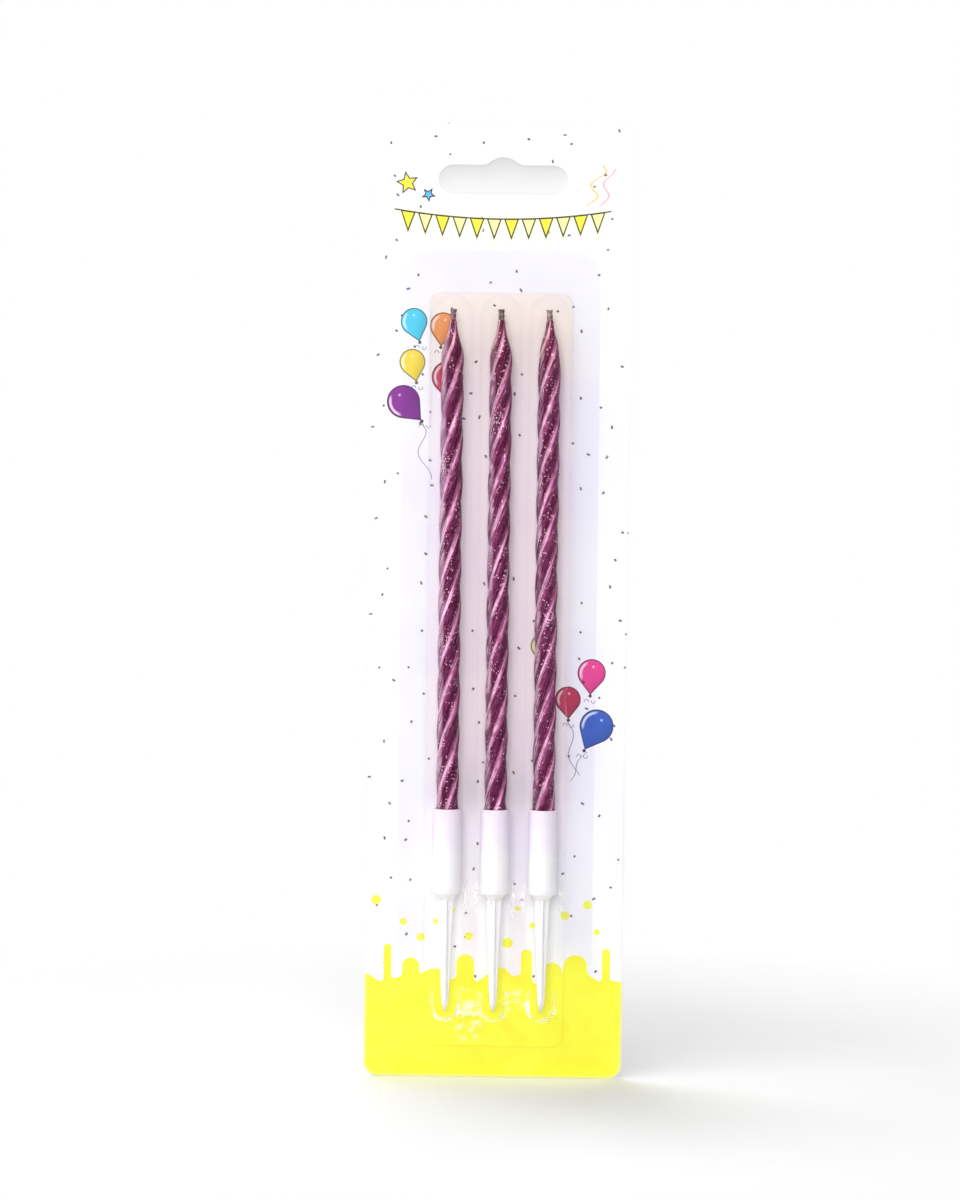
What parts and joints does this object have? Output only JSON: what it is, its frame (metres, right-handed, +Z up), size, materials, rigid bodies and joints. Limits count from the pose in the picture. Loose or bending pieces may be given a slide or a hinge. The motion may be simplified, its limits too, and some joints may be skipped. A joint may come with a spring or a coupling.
{
  "type": "spiral birthday candle pack",
  "caption": "Hanging card pack of slim spiral birthday candles in push-in cake holders, under a clear formed blister with a channel for each candle.",
  "frame": {"origin": "the top of the hang slot's dome, where a peg hook bears, in the middle of the card's thickness", "axes": "+Z up along the pack's length, +Y out of the card's bare back, and the blister faces -Y"},
  "size_m": [0.0642, 0.0099, 0.2365],
  "materials": {
    "card": "gloss",
    "blister_film": "gloss",
    "wax": "satin",
    "wick": "matte",
    "holder": "satin"
  },
  "bodies": {
    "card": {"backing_card": "card"},
    "blister": {"blister_shell": "blister_film"},
    "left_holder": {"left_holder": "holder"},
    "left_candle": {"left_candle": "wax", "left_wick": "wick"},
    "centre_holder": {"centre_holder": "holder"},
    "centre_candle": {"centre_candle": "wax", "centre_wick": "wick"},
    "right_holder": {"right_holder": "holder"},
    "right_candle": {"right_candle": "wax", "right_wick": "wick"}
  },
  "joints": [
    {"name": "blister_lift", "type": "slide", "parent": "card", "child": "blister", "axis": [0, -1, 0], "range_m": [0, 0.03]},
    {"name": "left_holder_turn", "type": "hinge", "parent": "card", "child": "left_holder", "pos_m": [-0.0119, -0.0042, -0.1813], "axis": [0, 0, 1], "continuous": true},
    {"name": "left_candle_pull", "type": "slide", "parent": "left_holder", "child": "left_candle", "axis": [0, 0, 1], "range_m": [0, 0.0028]},
    {"name": "centre_holder_turn", "type": "hinge", "parent": "card", "child": "centre_holder", "pos_m": [0, -0.0042, -0.1813], "axis": [0, 0, 1], "continuous": true},
    {"name": "centre_candle_pull", "type": "slide", "parent": "centre_holder", "child": "centre_candle", "axis": [0, 0, 1], "range_m": [0, 0.0028]},
    {"name": "right_holder_turn", "type": "hinge", "parent": "card", "child": "right_holder", "pos_m": [0.0119, -0.0042, -0.1813], "axis": [0, 0, 1], "continuous": true},
    {"name": "right_candle_pull", "type": "slide", "parent": "right_holder", "child": "right_candle", "axis": [0, 0, 1], "range_m": [0, 0.0028]}
  ]
}
